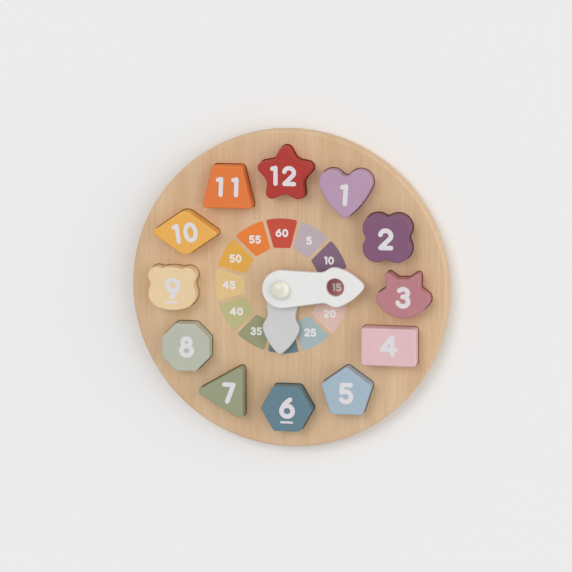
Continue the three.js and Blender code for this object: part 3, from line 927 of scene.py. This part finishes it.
def headed_bolt(name, node):
    """A flat head and a plain shank, with a six sided key hole in the head.

    One section runs up the head, in to the shank and on to its end. Offsets are measured
    from the rim of the head, and the key hole is a blind hole from below.
    """
    low, high = (corner.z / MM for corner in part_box(node))
    radius = size_of(node)[0] / 2
    shell = Shell()
    neck = SHANK_RADIUS - radius
    under = low + HEAD_HEIGHT
    body = section((-2 * HEAD_EASE, low, 0), (0, low, HEAD_EASE), (0, under, LIGHT_EASE),
                   (neck, under, LIGHT_EASE), (neck, high, LIGHT_EASE), (neck - LIGHT_EASE, high, 0))
    foot, tip = shell.wall(disc(*pivot, radius), body)
    turn = np.arange(6) * np.pi / 3
    reach = (HEX_HALF_WIDTH - HEX_CORNER) / math.cos(math.pi / 6)
    hexagon = belt([(reach * math.cos(t), reach * math.sin(t), HEX_CORNER) for t in turn])
    blind = section((LIGHT_EASE, low, 0), (0, low, LIGHT_EASE), (0, low + HEX_DEPTH, LIGHT_EASE),
                    (-LIGHT_EASE, low + HEX_DEPTH, 0))
    mouth, end = shell.wall(placed(hexagon, *pivot), blind, hole=True)
    shell.cover([foot, mouth], up=False)
    shell.cover([end], up=False)
    shell.cover([tip], up=True)
    return shell.build(name)


dress(headed_bolt("zinc_pivot_bolt", "pivot_bolt"), zinc, "board", "zinc_steel", "pivot_bolt")
print("bolt, mm:", size_of("pivot_bolt").round(1))

# %% [markdown]
# Digits
#
# The numbers are printed in a plain round hand: strokes of one width with round ends. Each
# digit is a few strokes, each stroke is an outline of its own, and where strokes cross they
# have to become one shape. Overlapping meshes would leave doubled faces, so the outlines go
# through a constrained triangulation, which tells for every triangle which strokes cover it.
# The triangles that a stroke covers are the digit.

# %% Strokes
STROKE_STEPS = 24
END_STEPS = 10


def line(*corners):
    """A straight stroke's middle line."""
    return np.array(corners, float)


def arc(x, y, rx, ry, start, end):
    """Part of an ellipse, by the angles in degrees at which it starts and ends."""
    turn = np.radians(np.linspace(start, end, STROKE_STEPS))
    return np.column_stack((x + rx * np.cos(turn), y + ry * np.sin(turn)))


def bend(start, pull, end):
    """A curve that leaves start towards pull and comes into end from pull."""
    t = np.linspace(0, 1, STROKE_STEPS)[:, None]
    return (1 - t) ** 2 * np.array(start) + 2 * t * (1 - t) * np.array(pull) + t**2 * np.array(end)


def stroke(path, half):
    """The outline of a round ended stroke: both sides at half its width, and two half discs."""
    way = np.gradient(path, axis=0)
    way /= np.linalg.norm(way, axis=1)[:, None]
    aside = np.column_stack((-way[:, 1], way[:, 0]))
    turn = np.linspace(-np.pi / 2, np.pi / 2, END_STEPS + 1)[1:-1, None]
    tip = path[-1] + half * (np.cos(turn) * way[-1] + np.sin(turn) * aside[-1])
    tail = path[0] - half * (np.cos(turn) * way[0] + np.sin(turn) * aside[0])
    return np.vstack((path - half * aside, tip, (path + half * aside)[::-1], tail))


print("points round a stroke:", 2 * (STROKE_STEPS + END_STEPS - 1))

# %% Films of ink
# Corners of strokes nearer to each other than this, in mm, become one
WELD = 1e-4


def film(name, shapes, bottom, top):
    """The union of flat shapes as one thin closed film between two heights, in mm.

    Triangles that lie in any shape are kept. An edge whose reverse no other triangle has
    is on the rim, and gets a wall. The lower cover is the upper one, turned over.
    """
    points = np.vstack(shapes)
    ends = np.cumsum([len(shape) for shape in shapes])
    faces = [list(range(end - len(shape), end)) for shape, end in zip(shapes, ends)]
    flat, _, triangles, _, _, owners = delaunay_2d_cdt([Vector(p) for p in points], [], faces, 0, WELD)
    kept = np.array([triangle for triangle, owner in zip(triangles, owners) if owner])
    used, kept = np.unique(kept, return_inverse=True)
    kept, flat = kept.reshape(-1, 3), np.array([tuple(point) for point in flat])[used]
    a, b, c = (flat[kept[:, i]] for i in range(3))
    area = (b - a)[:, 0] * (c - a)[:, 1] - (b - a)[:, 1] * (c - a)[:, 0]
    kept[area < 0] = kept[area < 0, ::-1]
    edges = kept[:, [0, 1, 1, 2, 2, 0]].reshape(-1, 2)
    count = len(flat)
    rim = edges[~np.isin(edges @ (count, 1), edges @ (1, count))]
    walls = np.column_stack((rim, rim[:, ::-1] + count))
    levels = np.repeat((bottom, top), count)[:, None]
    mesh = bpy.data.meshes.new(name)
    places = np.hstack((np.vstack((flat, flat)), levels)) * MM
    mesh.from_pydata(places, [], (kept + count).tolist() + kept[:, ::-1].tolist() + walls.tolist())
    made = bpy.data.objects.new(name, mesh)
    bpy.context.scene.collection.objects.link(made)
    return made


print("corners are joined within, mm:", WELD)

# %% [markdown]
# The digits are drawn 17.3 mm tall on the middle lines of their strokes, with the lower
# left corner of the digit at the origin. Each entry is the width of the digit and its
# strokes. A font would be quicker, but every font is someone's design, and a smaller number
# is the same drawing, scaled.

# %% The ten digits
DIGIT_HEIGHT = 17.3
HALF_STROKE = 1.85
FOOT, HEAD = HALF_STROKE, DIGIT_HEIGHT - HALF_STROKE

DIGITS = {
    "0": (12.6, [arc(6.3, 8.65, 4.45, 6.8, 0, 180), arc(6.3, 8.65, 4.45, 6.8, 180, 360)]),
    "1": (6.5, [line((1.8, 14.6), (4.6, HEAD)), line((4.6, HEAD), (4.6, FOOT))]),
    "2": (12.4, [arc(6.3, 11.5, 4.2, 3.95, 170, -38), line((9.6, 9.1), (2.2, FOOT)),
                 line((2.2, FOOT), (10.5, FOOT))]),
    "3": (12.2, [arc(6.4, 12.4, 3.7, 3.05, 145, -95), arc(6.2, 5.6, 4.2, 3.75, 93, -165)]),
    "4": (14.6, [line((9.9, HEAD), (2.1, 5.9)), line((2.1, 5.9), (12.7, 5.9)),
                 line((10.2, HEAD), (10.4, FOOT))]),
    "5": (11.7, [line((9.6, HEAD), (2.8, HEAD)), line((2.8, HEAD), (2.3, 9.3)),
                 bend((2.3, 9.3), (3.6, 10.2), (5.8, 10.1)), arc(5.6, 5.95, 4.3, 4.15, 90, -145)]),
    "6": (12.9, [arc(6.5, 6.2, 4.5, 4.35, 0, 180), arc(6.5, 6.2, 4.5, 4.35, 180, 360),
                 bend((9.0, HEAD), (3.2, 11.6), (2.1, 7.0))]),
    "7": (11.2, [line((1.9, HEAD), (9.3, HEAD)), line((9.3, HEAD), (4.1, FOOT))]),
    "8": (12.4, [arc(6.2, 12.4, 3.2, 3.05, 0, 180), arc(6.2, 12.4, 3.2, 3.05, 180, 360),
                 arc(6.2, 5.6, 4.3, 3.75, 0, 180), arc(6.2, 5.6, 4.3, 3.75, 180, 360)]),
    "9": (12.4, [arc(6.2, 11.2, 4.4, 4.25, 0, 180), arc(6.2, 11.2, 4.4, 4.25, 180, 360),
                 bend((10.5, 10.4), (9.6, 6.4), (5.2, FOOT))]),
}


def digit(figure, x, y, height=DIGIT_HEIGHT, degrees=0, half=HALF_STROKE):
    """The strokes of one digit, scaled to a height and centred on a point."""
    width, paths = DIGITS[figure]
    scale = height / DIGIT_HEIGHT
    middle = np.array((width, DIGIT_HEIGHT)) / 2
    turn = math.radians(degrees)
    matrix = np.array([[math.cos(turn), math.sin(turn)], [-math.sin(turn), math.cos(turn)]])
    return [(stroke(path, half) - middle) @ matrix * scale + (x, y) for path in paths]


print("widest digit, mm:", max(width for width, _ in DIGITS.values()))

# %% [markdown]
# Numbers on the blocks
#
# The numbers are pad printed by hand, so none sits quite in the middle and some lean a
# little. Six and nine are the same sign turned over, so each has a bar under its foot to
# tell a child which way up it belongs. A mask in the material could paint them, but a film
# with a real edge stays sharp from near by. The ink is 0.1 mm thick, sunk by half of it.

# %% Numbers
INK_SINK = 0.05
INK_RISE = 0.05
BAR_HALF_LENGTH = 4.4
BAR_HALF_WIDTH = 0.85
TALL = DIGIT_HEIGHT
SHORT = 15.9

# Each digit with its place from the middle of the block, its height, and its lean in degrees
NUMBERS = {
    "block_01_heart": [("1", -1.0, -1.2, TALL, -4)],
    "block_02_flower": [("2", -0.7, -0.4, TALL, 0)],
    "block_03_cat": [("3", 0.1, -1.7, TALL, 0)],
    "block_04_rectangle": [("4", 0.1, 1.1, TALL, 0)],
    "block_05_pentagon": [("5", 0.0, 0.0, TALL, 0)],
    "block_06_hexagon": [("6", 0.6, 0.9, TALL, 0)],
    "block_07_triangle": [("7", 1.8, -0.2, TALL, 0)],
    "block_08_octagon": [("8", 1.0, 0.5, TALL, 0)],
    "block_09_bear": [("9", 0.8, -0.3, TALL, 0)],
    "block_10_rhombus": [("1", -6.9, -1.0, SHORT, 8), ("0", 4.7, 0.7, SHORT, 8)],
    "block_11_trapezoid": [("1", -6.0, 1.7, SHORT, -3), ("1", 6.3, 1.7, SHORT, -3)],
    "block_12_star": [("1", -8.4, -0.6, SHORT, 0), ("2", 3.6, -0.6, SHORT, 0)],
}
# The middle of each bar, from the middle of the block
BARS = {"block_06_hexagon": (0.3, -10.7), "block_09_bear": (-0.5, -11.5)}

white_ink = screen_ink("ink_white_pad_printed", "#DDD8DB")
for node, figures in NUMBERS.items():
    centre, face = seated[node][1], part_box(node)[1].z / MM
    shapes = [part for figure, x, y, height, degrees in figures
              for part in digit(figure, *(centre + (x, y)), height, degrees)]
    if node in BARS:
        x, y = centre + BARS[node]
        shapes.append(stroke(line((x - BAR_HALF_LENGTH, y), (x + BAR_HALF_LENGTH, y)), BAR_HALF_WIDTH))
    number = "".join(figure for figure, *_ in figures)
    piece = film("printed_number_" + number, shapes, face - INK_SINK, face + INK_RISE)
    dress(piece, white_ink, node, "paint_white")
print("numbers printed:", len(NUMBERS))

# %% [markdown]
# The ring of minutes
#
# Round the middle of the board twelve fields count the minutes in fives. A field is bounded
# by an arc outside, a straight edge inside and two sides that leave an even gap to its
# neighbours. Four small circles in its corners and one large one for the arc are all that
# the belt needs. The print sits a little beside the bolt and is turned by half a degree, as
# prints on such toys are, and its numbers stand on a ring that is a little wider than high.

# %% Minute fields
PRINT_CENTRE = np.array((-5.0, 2.65))
PRINT_TURN_DEGREES = 0.45
DEGREES_A_MINUTE = 6
FIELD_REACH = 54.1
FIELD_FOOT = 30.5
FIELD_GAP = 2.8
FIELD_CORNER = 1.5
LABEL_REACH = np.array((43.5, 42.5))
LABEL_HEIGHT = 6.4
LABEL_HALF_STROKE = 2.05
LABEL_SPACE = 0.7
FIELDS = {
    60: ("#C2432D", "paint_red"), 5: ("#BBABB4", "paint_lilac"), 10: ("#7C6076", "paint_plum"),
    15: ("#C57B7A", "paint_rose"), 20: ("#DFBCB1", "paint_pale_pink"),
    25: ("#A2B5B8", "paint_pale_blue"), 30: ("#657B86", "paint_slate_blue"),
    35: ("#959770", "paint_olive_green"), 40: ("#BBB581", "paint_sage"),
    45: ("#E0C085", "paint_cream"), 50: ("#DFA640", "paint_amber"), 55: ("#E67B28", "paint_orange"),
}


def field_outline():
    """One field about the axis +Y, from the middle of the ring.

    A corner circle keeps half the gap and its own radius from the line between two fields,
    which lies half a field's angle from the axis.
    """
    half, inset = math.pi / 12, FIELD_GAP / 2 + FIELD_CORNER
    far = FIELD_REACH - FIELD_CORNER
    turn = half - math.asin(inset / far)
    outer = (far * math.sin(turn), far * math.cos(turn), FIELD_CORNER)
    y = FIELD_FOOT + FIELD_CORNER
    inner = ((y * math.sin(half) - inset) / math.cos(half), y, FIELD_CORNER)
    left = mirrored([inner, outer])
    return belt([inner, outer, (0, 0, FIELD_REACH), *left])


def label(text, x, y):
    """The digits of a label side by side, centred on a point."""
    scale = LABEL_HEIGHT / DIGIT_HEIGHT
    widths = np.array([DIGITS[figure][0] for figure in text]) * scale
    starts = np.cumsum(np.r_[0, widths[:-1] + LABEL_SPACE])
    middles = x + starts + widths / 2 - (starts[-1] + widths[-1]) / 2
    return [part for figure, middle in zip(text, middles)
            for part in digit(figure, middle, y, LABEL_HEIGHT, 0, LABEL_HALF_STROKE)]


label_ink = screen_ink("ink_white_screen_printed", "#E6E3E4")
for minutes, (colour, slot) in FIELDS.items():
    degrees = PRINT_TURN_DEGREES - minutes * DEGREES_A_MINUTE
    outline, _ = placed(field_outline(), *PRINT_CENTRE, degrees)
    field = film(f"printed_field_{minutes:02d}", [outline], board_top - INK_SINK, board_top + INK_RISE)
    dress(field, screen_ink(f"ink_field_{minutes:02d}_screen_printed", colour), "board", slot)
    way = np.array((-math.sin(math.radians(degrees)), math.cos(math.radians(degrees))))
    shapes = label(str(minutes), *(PRINT_CENTRE + way * LABEL_REACH))
    text = film(f"printed_minutes_{minutes:02d}", shapes, board_top - INK_SINK, board_top + 2 * INK_RISE)
    dress(text, label_ink, "board", "paint_white")
print("fields printed:", len(FIELDS))

# %% [markdown]
# Dots in the sockets
#
# Lift a block and its socket shows as many dots as its number, so the child can count. They
# are printed on the lower layer before the two are glued. The rows below are plain counts
# of dots from the top row down.

# %% Counting dots
DOT_RADIUS = 1.7
DOT_PITCH = 5.6
DOT_ROWS = [(1,), (2,), (1, 2), (2, 2), (2, 1, 2), (3, 3), (2, 3, 2), (3, 2, 3), (3, 3, 3),
            (3, 4, 3), (3, 4, 4), (4, 4, 4)]

dark_ink = screen_ink("ink_brown_screen_printed", "#6B5244")
for (node, (_, centre)), rows in zip(seated.items(), DOT_ROWS):
    shapes = [disc(centre[0] + (column - (count - 1) / 2) * DOT_PITCH,
                   centre[1] + ((len(rows) - 1) / 2 - row) * DOT_PITCH, DOT_RADIUS)[0]
              for row, count in enumerate(rows) for column in range(count)]
    dots = film(node.replace("block", "counting_dots"), shapes, glue_height - INK_SINK,
                glue_height + INK_RISE)
    dress(dots, dark_ink, "board", "bare_wood")
print("dots printed:", sum(map(sum, DOT_ROWS)))

# %% [markdown]
# Floor and light
#
# The toy lies on a wide pale floor under soft studio light. Two suns with wide discs serve
# as soft boxes: one high on the left, and one low on the right that lights the side walls.
# The sky fills the rest. Area lights would fall off with distance, while a sun lights every
# place alike, so the floor stays even to the horizon. Together they come to about the level
# at which a colour renders as it is written.

# %% Floor and light
PALE = "#F0F0F0"
FLOOR_HALF = 30
KEY_FROM = (-0.6, 0.7, 1.5)
FILL_FROM = (1.4, 0.2, 0.7)
KEY_STRENGTH = 0.88
FILL_STRENGTH = 1.2
KEY_DISC_DEGREES = 35
FILL_DISC_DEGREES = 70
SKY_STRENGTH = 0.55
PAPER_FIBRE = 2
PAPER_GLOSS = (0.85, 0.95)
PAPER_SPECULAR = 0.1

floor_mesh = bpy.data.meshes.new("floor")
corners = FLOOR_HALF * np.array([(-1, -1, 0), (1, -1, 0), (1, 1, 0), (-1, 1, 0)])
floor_mesh.from_pydata(corners, [], [(0, 1, 2, 3)])
floor = bpy.data.objects.new("floor", floor_mesh)
bpy.context.scene.collection.objects.link(floor)
paper, tree = new_material("paper_matt_white")
fibre = add(tree, "ShaderNodeTexNoise", {"Vector": add(tree, "ShaderNodeTexCoord").outputs["Object"],
                                         "Scale": 1 / (PAPER_FIBRE * MM), "Detail": 2.0})
rough = add(tree, "ShaderNodeMapRange", {"Value": fibre.outputs["Fac"], "To Min": PAPER_GLOSS[0],
                                         "To Max": PAPER_GLOSS[1]})
sheet_shader = add(tree, "ShaderNodeBsdfPrincipled", {
    "Base Color": linear(PALE), "Roughness": rough.outputs[0], "Specular IOR Level": PAPER_SPECULAR})
add(tree, "ShaderNodeOutputMaterial", {"Surface": sheet_shader.outputs[0]})
floor_mesh.materials.append(paper)


def sun(name, source, strength, disc_degrees):
    """A sun that shines from a direction towards the object."""
    light = bpy.data.lights.new(name, "SUN")
    light.energy = strength
    light.angle = math.radians(disc_degrees)
    lamp = bpy.data.objects.new(name, light)
    lamp.rotation_euler = Vector(source).to_track_quat("Z", "Y").to_euler()
    bpy.context.scene.collection.objects.link(lamp)


sun("key_light", KEY_FROM, KEY_STRENGTH, KEY_DISC_DEGREES)
sun("fill_light", FILL_FROM, FILL_STRENGTH, FILL_DISC_DEGREES)
print("lights: 2 suns and the sky")

# %% World
world = bpy.data.worlds.new("studio")
bpy.context.scene.world = world
world.use_nodes = True
world.node_tree.nodes.clear()
sky = world.node_tree
path = add(sky, "ShaderNodeLightPath")
seen = add(sky, "ShaderNodeMath", {0: path.outputs["Is Camera Ray"], 1: path.outputs["Is Glossy Ray"]},
           operation="MAXIMUM")
seen = add(sky, "ShaderNodeMath", {0: seen.outputs[0], 1: path.outputs["Is Transmission Ray"]},
           operation="MAXIMUM")
level = add(sky, "ShaderNodeMapRange", {"Value": seen.outputs[0], "To Min": SKY_STRENGTH,
                                        "To Max": linear(PALE)[0]})
glow = add(sky, "ShaderNodeBackground", {"Color": (1, 1, 1, 1), "Strength": level.outputs[0]})
add(sky, "ShaderNodeOutputWorld", {"Surface": glow.outputs[0]})
bpy.context.scene.view_settings.view_transform = "Standard"
print("the sky lights the toy at", SKY_STRENGTH, "and is seen at", round(linear(PALE)[0], 2))

# %% [markdown]
